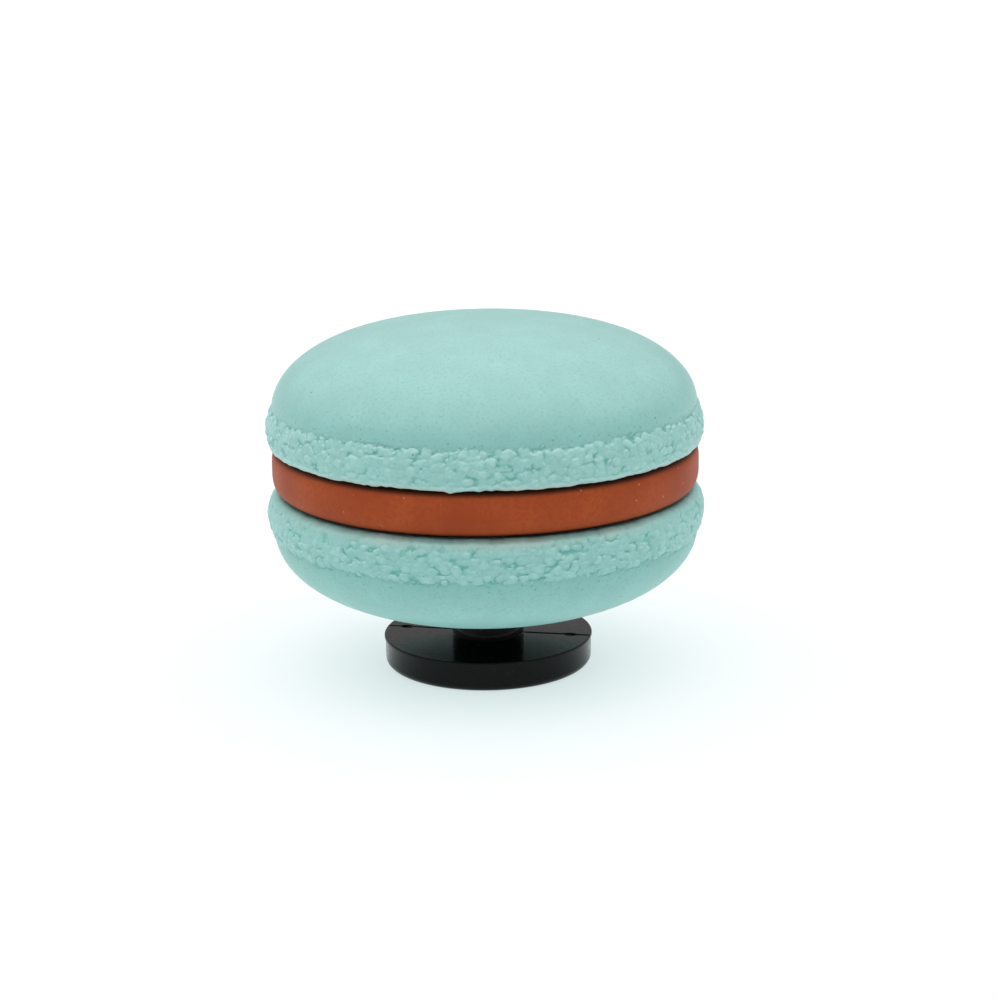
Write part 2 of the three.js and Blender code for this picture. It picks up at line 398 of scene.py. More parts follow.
@dataclass(frozen=True)
class MintSoftPvc(Finish):
    """Soft PVC (plasticised polyvinyl chloride), poured into an open mould and cured.

    The mould's wall is blasted, so the skin is matte, with a fine grain of pits. The grain is
    drawn at 0.16 mm, about the finest that shows. Filler makes the body a little uneven in
    tint, and light goes a short way in, which keeps the crevices soft. Painted shade darkens the
    crevices and the dome above the crease, and a painted highlight lightens the ledges that face
    up and the highest pebbles. Grime lies as fine specks in the crevices and just above the crease.
    A pale band lies on the lip's edge, partly a painted highlight, and painted shade lies along
    the seam with the filling.

    Attributes:
        grain_tint: Colour of the grain's pits.
        pale_tint: Colour of the pale blotches.
        crevice_shade_tint: Painted shade in crevices and at the crease, where "crevice" is 1.
        highlight_tint: Colour of the painted highlight, by "bloom".
        pale_rim_tint: Colour of the pale band on the lip's edge, partly a painted highlight, by
            "rubbed".
        seam_shade_tint: Colour of the painted shade along the seam, by "seam".
        dark_speck: Colour of the grime and of a few stray specks.
        grain_mm: Size of the grain.
        blotch_mm: Size of the blotches.
        speck_spacing_mm: Spacing of the stray specks.
        grime_spacing_mm: Spacing of the grime.
        specular: Specular level. Handling polishes the skin and raises it.
        roughness: Roughness of the skin.
        ior: Index of refraction of PVC.
        grain_depth: Depth of the grain.
        glow_share: Share of the light that goes in.
        glow_depth: How far it goes in.
        glow_reach: How far red, green and blue go, as shares of that depth.
    """

    body: str = "#91c4bf"
    grain_tint: str = "#86b9b3"
    pale_tint: str = "#9acfca"
    crevice_shade_tint: str = "#66aea5"
    highlight_tint: str = "#b5deda"
    pale_rim_tint: str = "#b3c2ba"
    seam_shade_tint: str = "#34423f"
    dark_speck: str = "#3f7a76"
    grain_mm: float = 0.16
    blotch_mm: float = 1.7
    speck_spacing_mm: float = 2.2
    grime_spacing_mm: float = 0.4
    specular: float = 0.2
    roughness: float = 0.42
    ior: float = 1.53
    grain_depth: float = 0.014 * MM
    glow_share: float = 0.45
    glow_depth: float = 0.5 * MM
    glow_reach: tuple[float, float, float] = (0.7, 1.0, 0.9)

    def wire(self, tree: bpy.types.NodeTree, place: bpy.types.NodeSocket) -> bpy.types.NodeSocket:
        """Wires blotches, grain, the surface's marks and specks into a Principled shader.

        Args:
            tree: Node tree of the new material.
            place: Object coordinates in millimetres.

        Returns:
            The shader output.
        """
        add = partial(add_node, tree)
        grain, blotch = (
            add("TexNoise", "Fac", inputs={"Vector": place, "Scale": 1 / size, "Detail": detail})
            for size, detail in ((self.grain_mm, 2.0), (self.blotch_mm, 3.0))
        )
        speck, grime = (
            add("TexVoronoi", "Distance", inputs={"Vector": place, "Scale": 1 / spacing})
            for spacing in (self.speck_spacing_mm, self.grime_spacing_mm)
        )
        crevice, bloom, rubbed, seam = (
            add("Attribute", "Fac", {"attribute_name": mark})
            for mark in ("crevice", "bloom", "rubbed", "seam")
        )
        near_crease = {"Value": crevice, "From Max": 0.2, "To Max": 0.5}
        grime_share = add("MapRange", "Result", inputs=near_crease)
        layers = (
            Layer(blotch, self.pale_tint, start=0.4, end=0.75, most=0.6),
            Layer(grain, self.grain_tint, start=0.5, end=0.7, most=0.7),
            # Painted shade in the crevices and on the dome above the crease.
            Layer(crevice, self.crevice_shade_tint),
            Layer(grime, self.dark_speck, start=0.17, end=0.08, most=grime_share),
            # Painted highlight on ledges that face up and on the highest pebbles.
            Layer(bloom, self.highlight_tint),
            # Pale band on the lip's edge, partly a painted highlight.
            Layer(rubbed, self.pale_rim_tint),
            # Painted shade along the seam with the filling.
            Layer(seam, self.seam_shade_tint),
            Layer(speck, self.dark_speck, start=0.035, end=0.02, most=0.6),
        )
        relief = {"Height": grain, "Distance": self.grain_depth, "Strength": 0.8}
        return add(
            "BsdfPrincipled",
            "BSDF",
            {"subsurface_method": "RANDOM_WALK"},
            {
                "Base Color": self.layered(tree, layers),
                "Roughness": self.roughness,
                "IOR": self.ior,
                "Specular IOR Level": self.specular,
                "Subsurface Weight": self.glow_share,
                "Subsurface Radius": self.glow_reach,
                "Subsurface Scale": self.glow_depth,
                "Normal": add("Bump", "Normal", inputs=relief),
            },
        )


@dataclass(frozen=True)
class ChocolateSoftPvc(Finish):
    """Soft PVC in milk-chocolate brown, poured as a plain disc.

    The mould is smooth here, so the face is an even satin. The pigment is slightly mottled, drawn
    at 0.2 mm so that it shows. A few pale dust motes cling to the face, and painted shade darkens
    the rim's edges at the seams with the shells.

    Attributes:
        deep_tint: Colour of the blotches and the mottling.
        seam_shade_tint: Colour of the painted shade at the seams, by the attribute "seam".
        mote: Colour of the dust motes.
        grain_mm: Size of the mottling and of the faint grain.
        blotch_mm: Size of the blotches.
        mote_spacing_mm: Spacing of the motes.
        specular: Specular level, low for a dull face.
        roughness: Roughness of the face.
        ior: Index of refraction of PVC.
        grain_depth: Depth of the grain.
    """

    body: str = "#a1491f"
    deep_tint: str = "#923c18"
    seam_shade_tint: str = "#2a120a"
    mote: str = "#c89a80"
    grain_mm: float = 0.2
    blotch_mm: float = 3.0
    mote_spacing_mm: float = 1.1
    specular: float = 0.15
    roughness: float = 0.5
    ior: float = 1.53
    grain_depth: float = 0.006 * MM

    def wire(self, tree: bpy.types.NodeTree, place: bpy.types.NodeSocket) -> bpy.types.NodeSocket:
        """Wires tint, seams, motes and grain into a Principled shader.

        Args:
            tree: Node tree of the new material.
            place: Object coordinates in millimetres.

        Returns:
            The shader output.
        """
        add = partial(add_node, tree)
        grain, blotch = (
            add("TexNoise", "Fac", inputs={"Vector": place, "Scale": 1 / size, "Detail": detail})
            for size, detail in ((self.grain_mm, 2.0), (self.blotch_mm, 4.0))
        )
        mote_inputs = {"Vector": place, "Scale": 1 / self.mote_spacing_mm}
        mote = add("TexVoronoi", "Distance", inputs=mote_inputs)
        seam = add("Attribute", "Fac", {"attribute_name": "seam"})
        layers = (
            Layer(blotch, self.deep_tint, start=0.35, end=0.7),
            Layer(grain, self.deep_tint, start=0.45, end=0.65, most=0.6),
            # Painted shade along the seams under the shells' lips.
            Layer(seam, self.seam_shade_tint),
            Layer(mote, self.mote, start=0.06, end=0.03, most=0.6),
        )
        relief = {"Height": grain, "Distance": self.grain_depth, "Strength": 0.6}
        return add(
            "BsdfPrincipled",
            "BSDF",
            inputs={
                "Base Color": self.layered(tree, layers),
                "Roughness": self.roughness,
                "IOR": self.ior,
                "Specular IOR Level": self.specular,
                "Normal": add("Bump", "Normal", inputs=relief),
            },
        )


@dataclass(frozen=True)
class BlackMouldedPvc(Finish):
    """Black PVC, injection moulded in a polished mould.

    The skin is glossy and very slightly wavy, like orange peel, and a little fine dust dulls it
    in places.

    Attributes:
        dust: Colour of the dust.
        peel_mm: Size of the waves.
        dust_mm: Size of the dust's patches.
        specular: Specular level, low so that the black stays deep.
        roughness: Roughness where the skin is clean.
        dusty_roughness: Roughness where it is dusty.
        ior: Index of refraction of PVC.
        peel_depth: Depth of the waves.
    """

    body: str = "#060606"
    dust: str = "#3a3f3e"
    peel_mm: float = 0.7
    dust_mm: float = 0.25
    specular: float = 0.15
    roughness: float = 0.1
    dusty_roughness: float = 0.28
    ior: float = 1.5
    peel_depth: float = 0.0015 * MM

    def wire(self, tree: bpy.types.NodeTree, place: bpy.types.NodeSocket) -> bpy.types.NodeSocket:
        """Wires dust, gloss and waviness into a Principled shader.

        Args:
            tree: Node tree of the new material.
            place: Object coordinates in millimetres.

        Returns:
            The shader output.
        """
        add = partial(add_node, tree)
        peel, dust = (
            add("TexNoise", "Fac", inputs={"Vector": place, "Scale": 1 / size, "Detail": detail})
            for size, detail in ((self.peel_mm, 1.0), (self.dust_mm, 5.0))
        )
        gloss_range = {
            "Value": dust,
            "From Min": 0.4,
            "From Max": 0.75,
            "To Min": self.roughness,
            "To Max": self.dusty_roughness,
        }
        dusting = Layer(dust, self.dust, start=0.62, end=0.8, most=0.3)
        relief = {"Height": peel, "Distance": self.peel_depth, "Strength": 1.0}
        return add(
            "BsdfPrincipled",
            "BSDF",
            inputs={
                "Base Color": self.layered(tree, (dusting,)),
                "Roughness": add("MapRange", "Result", inputs=gloss_range),
                "IOR": self.ior,
                "Specular IOR Level": self.specular,
                "Normal": add("Bump", "Normal", inputs=relief),
            },
        )


@dataclass(frozen=True)
class LitAcrylic(Finish):
    """Opal acrylic sheet, sanded on top and lit from below as a studio's table.

    The light that comes up through it fills the shadow on it. The sheet takes a little red out of
    that light, as a cut edge of acrylic shows, and its face is very slightly warm.

    Attributes:
        light: Colour of the light that comes through.
        glow: Strength of that light.
        specular: Specular level, low for a sanded face.
        roughness: Roughness of the face.
    """

    body: str = "#a6a0a0"
    light: str = "#efffff"
    glow: float = 0.645
    specular: float = 0.1
    roughness: float = 0.6

    def wire(self, tree: bpy.types.NodeTree, place: bpy.types.NodeSocket) -> bpy.types.NodeSocket:
        """Wires a plain matte sheet that glows evenly.

        Args:
            tree: Node tree of the new material.
            place: Object coordinates in millimetres, unused because the sheet has no pattern.

        Returns:
            The shader output.
        """
        return add_node(
            tree,
            "BsdfPrincipled",
            "BSDF",
            inputs={
                "Base Color": linear(self.body),
                "Roughness": self.roughness,
                "Specular IOR Level": self.specular,
                "Emission Color": linear(self.light),
                "Emission Strength": self.glow,
            },
        )


# --- Sub-assemblies ---


def finish_piece(piece: bpy.types.Object, node: str, finish: Finish) -> None:
    """Dresses a piece, ties it to the body and lets it stand for its solid.

    Args:
        piece: The new piece.
        node: The solid that the piece replaces.
        finish: The finish of the piece.
    """
    piece.data.materials.append(finish.material())
    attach(piece, "root")
    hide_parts(node)
    log.info("%s: %d faces", piece.name, len(piece.data.polygons))


@dataclass(frozen=True)
class Pebbles:
    """Pebbles on a brick grid unrolled round a foot, each moved off its place by chance.

    Attributes:
        count: Number of cells round the foot.
        first_row: Number of the lowest row of cells.
        last_row: Number of the highest row of cells.
        smallest: Reach of the smallest pebble, in cells.
        largest: Reach of the largest pebble, in cells.
        lowest: Rise of the lowest pebble, where the highest rises 1; none shows below 0.
        seed: First of the random traits.
        shift: Farthest that a pebble moves, in cells.
        roundness: Power of the distance in the cap's formula.
        softness: Power of the cap as a whole, smaller for steeper edges.
        stretch: Largest stretch or squeeze of a pebble along a random direction.
    """

    count: int
    first_row: int
    last_row: int
    smallest: float
    largest: float
    lowest: float
    seed: float
    shift: float = 0.32
    roundness: float = 2.3
    softness: float = 0.6
    stretch: float = 0.22

    def height(self, around: Array, up: Array) -> Array:
        """Gives the height of the pebbles, 0 to 1, at places given in cells.

        The formula is a cap over each of the nine nearest pebbles. The highest cap wins, which
        leaves a crevice where caps meet.

        Args:
            around: Cells round the foot.
            up: Cells up the foot.

        Returns:
            The height at each place.
        """
        height = np.zeros_like(around)
        for row_step in (-1, 0, 1):
            row = np.floor(up) + row_step
            brick = 0.5 * np.mod(row, 2)
            exists = (row >= self.first_row) & (row <= self.last_row)
            for column_step in (-1, 0, 1):
                column = np.floor(around - brick) + column_step
                cap = self.cap(column, row, around - brick, up)
                height = np.where(exists, np.maximum(height, cap), height)
        return height

    def cap(self, column: Array, row: Array, around: Array, up: Array) -> Array:
        """Gives the cap of one cell's pebble at each place.

        The formula is rise * (1 - (distance / reach) ^ roundness) ^ softness.

        Args:
            column: Column of the cell.
            row: Row of the cell.
            around: Place round the foot, less the row's brick offset.
            up: Place up the foot.

        Returns:
            The height of that cap, 0 outside its reach.
        """
        cell = np.mod(column, self.count)
        shift_around = self.shift * (2 * scatter(cell, row, self.seed) - 1)
        shift_up = self.shift * (2 * scatter(cell, row, self.seed + 1) - 1)
        reach_share = scatter(cell, row, self.seed + 2)
        reach = self.smallest + (self.largest - self.smallest) * reach_share
        rise = self.lowest + (1 - self.lowest) * scatter(cell, row, self.seed + 3)
        heading = math.pi * scatter(cell, row, self.seed + 4)
        stretch = 1 + self.stretch * (2 * scatter(cell, row, self.seed + 5) - 1)
        off_around = around - (column + 0.5 + shift_around)
        off_up = up - (row + 0.5 + shift_up)
        ahead = (off_around * np.cos(heading) + off_up * np.sin(heading)) * stretch
        aside = (off_up * np.cos(heading) - off_around * np.sin(heading)) / stretch
        away = np.hypot(ahead, aside) / reach
        return rise * np.maximum(0, 1 - away**self.roundness) ** self.softness


@dataclass(frozen=True)
class FootRelief:
    """The relief of a foot, from 0 in its deepest crevice to 1 on its highest pebble.

    Large pebbles lie among small ones, an uneven floor fills some of the gaps between them, and
    short cracks wander over all of it.

    Attributes:
        seed: First random trait of the pebbles.
        columns: Number of large cells round the foot.
        rows: Number of rows of large cells below the crease.
        row_height: Height of a row of large cells.
        wobble: How far the pebbles' outlines are bent, in large cells.
        small_share: Height of the small pebbles.
        floor_level: Mean height of the floor.
        floor_unevenness: How much the floor's height varies.
        rim_range: Heights above the crease between which the floor ends.
        rim_wander: How far that edge wanders.
        crack_cells: Cells of the noise that the cracks follow, to one large cell.
        crack_width: Half the width of a crack, as a share of that noise.
        crack_fade: Value of the noise that breaks them, from which a crack is at its deepest.
        crack_depth: Depth of a crack.
    """

    seed: float
    columns: int = 120
    rows: int = 5
    row_height: float = 0.5 * MM
    wobble: float = 0.3
    small_share: float = 0.85
    floor_level: float = 0.5
    floor_unevenness: float = 1.4
    rim_range: tuple[float, float] = (-0.3 * MM, -0.1 * MM)
    rim_wander: float = 0.12 * MM
    crack_cells: float = 1.5
    crack_width: float = 0.08
    crack_fade: float = 0.2
    crack_depth: float = 0.3

    def height(self, angle: Array, above: Array) -> Array:
        """Gives the relief at each place.

        The formula is the 8-norm of large caps, small caps and an uneven floor that ends at a
        wandering rim, less the cracks.

        Args:
            angle: Angle about Z.
            above: Height above the crease, negative on the foot.

        Returns:
            The relief, 0 to 1.
        """
        around = angle / FULL_TURN * self.columns
        up = above / self.row_height
        wrap = 2 * self.columns
        bent_around = around + self.wobble * soft_noise(2 * around, 2 * up, wrap, self.seed + 50)
        bent_up = up + self.wobble * soft_noise(2 * around, 2 * up, wrap, self.seed + 60)
        large = Pebbles(
            self.columns,
            first_row=-self.rows,
            last_row=-1,
            smallest=0.5,
            largest=0.75,
            lowest=0.65,
            seed=self.seed,
        )
        small = Pebbles(
            wrap,
            first_row=-2 * self.rows,
            last_row=0,
            smallest=0.4,
            largest=0.7,
            lowest=0.0,
            seed=self.seed + 20,
        )
        uneven = 1 + self.floor_unevenness * soft_noise(around, 1.5 * up, wrap // 2, self.seed + 80)
        rim_wave = soft_noise(around, np.zeros_like(up), wrap // 2, self.seed + 90)
        below_rim = above - 2 * self.rim_wander * rim_wave
        floor = self.floor_level * uneven * (1 - ease(below_rim, *self.rim_range))
        stones = smooth_maximum(
            large.height(bent_around, bent_up),
            self.small_share * small.height(2 * bent_around, 2 * bent_up),
            floor,
        )
        return np.maximum(0, stones - self.crack_depth * self.cracks(around, up))

    def cracks(self, around: Array, up: Array) -> Array:
        """Gives the cracks' share of their full depth at each place.

        The formula follows the line where a value noise is 0, and a second noise breaks the line
        into short stretches.

        Args:
            around: Large cells round the foot.
            up: Rows of large cells above the crease.

        Returns:
            The share, 0 beside the cracks to 1 in their middle.
        """
        fine_around, fine_up = self.crack_cells * around, self.crack_cells * up
        wrap = int(self.crack_cells * self.columns)
        line = np.abs(soft_noise(fine_around, fine_up, wrap, self.seed + 110))
        stretch = soft_noise(around, up, self.columns, self.seed + 120)
        return np.maximum(0, 1 - line / self.crack_width) * ease(stretch, 0, self.crack_fade)


class Side(Enum):
    """Which way a shell's dome points from its inner face."""

    UPPER = 1
    LOWER = -1


@dataclass(frozen=True)
class Drip:
    """A sag in the edge of a lip.

    Attributes:
        bearing: Angle about Z, in degrees.
        depth: How far the edge sags.
        width: Half its width along the edge.
    """

    bearing: float
    depth: float
    width: float


@dataclass(frozen=True)
class LipEdge:
    """The ragged edge of a lip.

    Attributes:
        sag: How far it hangs below its level.
        wander: How far it wanders from that.
        slow: Noise of its long waves.
        ragged: Noise of its short ones.
        drips: Single sags in it.
        reach: Height over which all of them fade out.
    """

    sag: float = 0.06 * MM
    wander: float = 0.06 * MM
    slow: Wander = Wander(columns=90, step=MM, trait=95)
    ragged: Wander = Wander(columns=280, step=MM, trait=96)
    drips: tuple[Drip, ...] = ()
    reach: float = 0.45 * MM

    def drop(self, angle: Array, height: Array, radius: float, seed: float) -> Array:
        """Works out how far the edge hangs below its level.

        The formula adds an even sag, a small wandering noise and a bell for each drip, which all
        fade upwards.

        Args:
            angle: Angle of each point.
            height: Height of each point.
            radius: Radius of the edge.
            seed: First random trait of the foot.

        Returns:
            The drop of each point.
        """
        level = np.zeros_like(angle)
        waves = self.slow.at(angle, level, seed) + self.ragged.at(angle, level, seed)
        drop = self.sag + self.wander * waves
        for drip in self.drips:
            off = np.mod(angle - math.radians(drip.bearing) + math.pi, FULL_TURN) - math.pi
            drop = drop + drip.depth * np.exp(-((off * radius / drip.width) ** 2))
        return drop * (1 - ease(height, 0, self.reach))


@dataclass(frozen=True)
class LipMarks:
    """A pale band and painted shade along a lip's edge.

    Attributes:
        pale_rim_width: Height of the pale band.
        pale_rim_share: Strength of the pale band, partly a painted highlight.
        pale_rim_mean: Mean of its patches, which vary by up to a half.
        patches: Noise of the patches.
        seam_shade_width: Height of the painted seam shade.
        seam_shade_share: Strength of the painted seam shade.
        side_fade: How far both fade out towards +X and -X, where side light falls on the lip.
    """

    pale_rim_width: float = 0.22 * MM
    pale_rim_share: float = 0.9
    pale_rim_mean: float = 0.7
    patches: Wander = Wander(columns=64, step=MM, trait=85)
    seam_shade_width: float = 0.22 * MM
    seam_shade_share: float = 0.0
    side_fade: float = 0.0

    def marks(self, angle: Array, height: Array, seed: float) -> dict[str, Array]:
        """Works out the finish's marks "rubbed", a pale band, and "seam", a painted shade.

        The formula fades each band from a third of its width to all of it. The pale band comes in
        patches, and both lose clean sides * cos(angle) ^ 2 of their strength, as side light falls
        on the lip there.

        Args:
            angle: Angle of each point.
            height: Height of each point.
            seed: First random trait of the foot.

        Returns:
            Each mark by its name.
        """
        patches = self.pale_rim_mean + self.patches.at(angle, height, seed)
        # Pale band on the lip's edge, partly a painted highlight.
        rubbed = 1 - ease(height, self.pale_rim_width / 3, self.pale_rim_width)
        # Painted shade along the seam with the filling.
        seam_band = 1 - ease(height, self.seam_shade_width / 3, self.seam_shade_width)
        # Both fade towards the sides, where side light falls on the lip.
        away_from_sides = 1 - self.side_fade * np.cos(angle) ** 2
        return {
            "rubbed": self.pale_rim_share * patches * rubbed * away_from_sides,
            "seam": self.seam_shade_share * seam_band * away_from_sides,
        }


@dataclass(frozen=True)
class Dome:
    """The smooth dome of a shell, a superellipse from its crease to its crown.

    Attributes:
        crease: Height of the crease.
        crown: Height of the crown.
        radius: Radius at the crease.
        side_power: Power of the profile in the radius.
        crown_power: Power of the profile in the height.
        flat_radius: Radius where the profile ends and the crown's flat starts.
        unevenness: Depth of the soft swells.
        swell: Noise of the swells.
        calm_radius: Radius from which the swells fade towards the axis.
    """

    crease: float
    crown: float
    radius: float
    side_power: float = 2.66
    crown_power: float = 1.95
    flat_radius: float = 2.5 * MM
    unevenness: float = 0.03 * MM
    swell: Wander = Wander(columns=18, step=2.2 * MM, trait=99)
    calm_radius: float = 9 * MM

    def profile(self, turn: Array) -> tuple[Array, Array]:
        """Gives the profile at turns from 0 at the crease to a quarter turn at the crown.

        The formula is radius = R cos(turn) ^ (2 / side power) and height = crease + (crown -
        crease) sin(turn) ^ (2 / crown power).

        Args:
            turn: Angles along the profile.

        Returns:
            Radius and height at each angle.
        """
        radius = self.radius * np.cos(turn) ** (2 / self.side_power)
        rise = (self.crown - self.crease) * np.sin(turn) ** (2 / self.crown_power)
        return radius, self.crease + rise

    def turn_at(self, height: Array) -> Array:
        """Inverts the profile: the turn at a height, 0 below the crease."""
        share = (height - self.crease) / (self.crown - self.crease)
        return np.arcsin(np.clip(share, 0, 1) ** (self.crown_power / 2))

    def last_turn(self) -> float:
        """Gives the turn at which the crown's flat starts."""
        return math.acos((self.flat_radius / self.radius) ** (self.side_power / 2))

    def dent(self, angle: Array, radius: Array, height: Array, seed: float) -> Array:
        """Works out how far the swells draw the dome in.

        The formula is unevenness * (noise + 1/2), which fades towards the crease and the axis.

        Args:
            angle: Angle of each point.
            radius: Radius of each point.
            height: Height of each point.
            seed: First random trait of the foot.

        Returns:
            The depth at each point.
        """
        swell = 0.5 + self.swell.at(angle, height, seed)
        above_crease = ease(height, self.crease, self.crown / 2)
        return self.unevenness * swell * above_crease * ease(radius, 0, self.calm_radius)


@dataclass
class Foot:
    """The pebbled foot of a shell: a rounded lip and a bulge up to the crease.

    Heights are counted from the shell's inner face towards its crown, on either side.

    Attributes:
        seed: First random trait of the pebbles and the noises.
        spread: How much wider the foot is than the upper shell's, on each side.
        face_radius: Radius of the flat inner face, where the lip's rounding starts.
        lip_height: Height of the lip's rounding.
        crease: Height of the crease between foot and dome.
        radius: Radius of the bulge at the top of the lip.
        top_radius: Radius at the crease.
        relief_start: Height where the relief starts on the lip.
        relief_full: Height where it reaches its full depth.
        relief_depth: Depth of the deepest crevice.
        lip_stretch: How much the lip's rounding adds to the rows of pebbles.
        grit_depth: Depth of the fine grit.
        grit: Noise of the grit.
        crevice_shade_range: Depths, as shares, between which a dent takes the painted crevice
            shade.
        shadow_line: How far the dome stands past the foot's surface where it is pinched most.
        shadow_depth: Depth of the pinch.
        shadow_contrast: How much the pinch comes and goes along the foot's upper edge.
        spots: Noise by which it comes and goes.
        ledge_highlight: Painted highlight where the relief faces up.
        ledge_range: Slopes between which a ledge takes its painted highlight.
        top_highlight: Painted highlight on the highest pebbles.
        top_start: Relief from which a pebble counts as high.
        edge: The lip's edge.
        lip_marks: The pale band and the painted seam shade along it.
    """

    seed: float
    spread: float = 0.0
    face_radius: float = 11.97 * MM
    lip_height: float = 1.0 * MM
    crease: float = 2.15 * MM
    radius: float = 12.36 * MM
    top_radius: float = 12.05 * MM
    relief_start: float = 0.05 * MM
    relief_full: float = 0.35 * MM
    relief_depth: float = 0.17 * MM
    lip_stretch: float = 0.6
    grit_depth: float = 0.03 * MM
    grit: Wander = Wander(columns=640, step=0.12 * MM, trait=70)
    crevice_shade_range: tuple[float, float] = (0.4, 0.75)
    shadow_line: float = 0.03 * MM
    shadow_depth: float = 0.04 * MM
    shadow_contrast: float = 1.6
    spots: Wander = Wander(columns=80, step=0.4 * MM, trait=75)
    ledge_highlight: float = 0.7
    ledge_range: tuple[float, float] = (0.05, 0.6)
    top_highlight: float = 0.3
    top_start: float = 0.75
    edge: LipEdge = LipEdge()
    lip_marks: LipMarks = LipMarks()

    def __post_init__(self) -> None:
        """Widens the foot by its spread."""
        self.radius += self.spread
        self.top_radius += self.spread

    def bulge(self, height: Array) -> Array:
        """Gives the foot's radius without pebbles.

        The formula is a quarter ellipse up the lip, then a square-law lean towards the crease.

        Args:
            height: Heights on the foot.

        Returns:
            The radius at each height.
        """
        below = np.clip(1 - height / self.lip_height, 0, 1)
        climb = np.maximum(0, height - self.lip_height) / (self.crease - self.lip_height)
        lip = (self.radius - self.face_radius) * (1 - np.sqrt(1 - below**2))
        return self.radius - lip - (self.radius - self.top_radius) * climb**2

    def surface(
        self, angle: Array, height: Array, dome: Dome, side: Side
    ) -> tuple[Array, Array, dict[str, Array]]:
        """Works out the foot's surface over pebbles and dome.

        The relief's rows are counted along the surface, so on the lip they run on with its
        rounding, and each dent goes in at a right angle to it. The radius is the larger of two:
        the dome's, run straight down to the lip, and the foot's, which is its bulge less the
        dent. Just above the foot's scalloped edge, where the dome is the larger by about the
        shadow line, the dome is pinched a little and painted with shade. Painted shade also lies
        in the crevices, and a painted highlight lies on the highest pebbles and where the relief
        faces up.

        Args:
            angle: Angle of each point.
            height: Height of each point.
            dome: The dome that the foot stands out from.
            side: Which way the dome points.

        Returns:
            The radius and height of each point, and the finish's marks.
        """
        bulge = self.bulge(height)
        on_lip = height < self.lip_height
        roll = (self.radius - bulge) * on_lip
        above = height - self.crease - self.lip_stretch * roll
        relief = FootRelief(self.seed).height(angle, above)
        share = ease(height, self.relief_start, self.relief_full)
        grit = self.grit.at(angle, height, self.seed)
        raised = share * (self.relief_depth * (relief - 1) + self.grit_depth * grit)
        rise = np.gradient(height, axis=0)
        tilt = np.arctan(np.gradient(bulge, axis=0) / rise) * on_lip
        foot = bulge + raised * np.cos(tilt)
        smooth = np.where(on_lip, 0, dome.profile(dome.turn_at(height))[0])
        past_edge = (smooth - foot) / self.shadow_line - 1
        spots = np.clip(0.5 + self.shadow_contrast * self.spots.at(angle, height, self.seed), 0, 1)
        # The pinch above the foot's edge is cut into the dome and also painted as shade.
        shadow = spots * np.exp(-(past_edge**2)) * ~on_lip
        # Painted shade in the crevices between pebbles.
        crevice = share * ease(1 - relief, *self.crevice_shade_range)
        on_foot = foot > smooth
        # Painted highlight where the relief faces up towards the light from above, and on the
        # highest pebbles.
        facing_up = -side.value * np.gradient(raised, axis=0) / rise
        ledge = on_foot * ease(facing_up, *self.ledge_range) * (1 - crevice)
        tops = on_foot * share * ease(relief, self.top_start, 1)
        marks = {
            "crevice": np.where(on_foot, crevice, shadow),
            "bloom": np.maximum(self.ledge_highlight * ledge, self.top_highlight * tops),
        }
        surface = np.maximum(foot, smooth - self.shadow_depth * shadow)
        drop = self.edge.drop(angle, height, self.face_radius, self.seed)
        level = height - raised * np.sin(tilt) - drop
        return surface, level, marks | self.lip_marks.marks(angle, height, self.seed)


